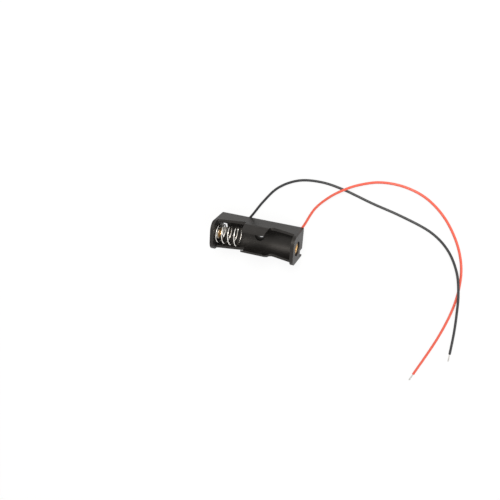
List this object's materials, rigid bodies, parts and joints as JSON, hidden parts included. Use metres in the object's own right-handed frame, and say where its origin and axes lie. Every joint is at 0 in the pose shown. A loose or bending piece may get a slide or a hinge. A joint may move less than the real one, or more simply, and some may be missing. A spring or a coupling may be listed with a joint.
{
  "type": "cylindrical cell holder",
  "caption": "Moulded trough for a small cylindrical cell, with rounded end walls, curled snap tabs, a coil spring contact, riveted eyelets and soldered black and red leads.",
  "frame": {"origin": "on the surface that the holder rests on, under the screw hole, at the middle of the housing", "axes": "+X along the cell towards the positive end, +Y towards the side that the leads leave from, +Z out of the open side"},
  "size_m": [0.0995, 0.0827, 0.0136],
  "materials": {
    "housing": "fine moulded black",
    "spring": "nickel-plated wire",
    "eyelet": "plain brass",
    "tag": "tinned",
    "solder": "bright solder",
    "black_lead": "satin insulation",
    "red_lead": "satin insulation",
    "strands": "tinned strands"
  },
  "bodies": {
    "holder": {"housing": "housing", "negative_eyelet": "eyelet", "positive_eyelet": "eyelet", "negative_solder_tag": "tag", "positive_solder_tag": "tag", "negative_solder_joint": "solder", "positive_solder_joint": "solder", "black_lead_tail": "black_lead", "red_lead_tail": "red_lead", "black_lead": "black_lead", "red_lead": "red_lead", "black_lead_strands": "strands", "red_lead_strands": "strands"},
    "spring": {"contact_spring": "spring"}
  },
  "joints": [
    {"name": "spring_compress", "type": "slide", "parent": "holder", "child": "spring", "axis": [1, 0, 0], "range_m": [-0.006, 0], "stiffness_N_per_m": 400, "deforming": ["contact_spring"]}
  ]
}
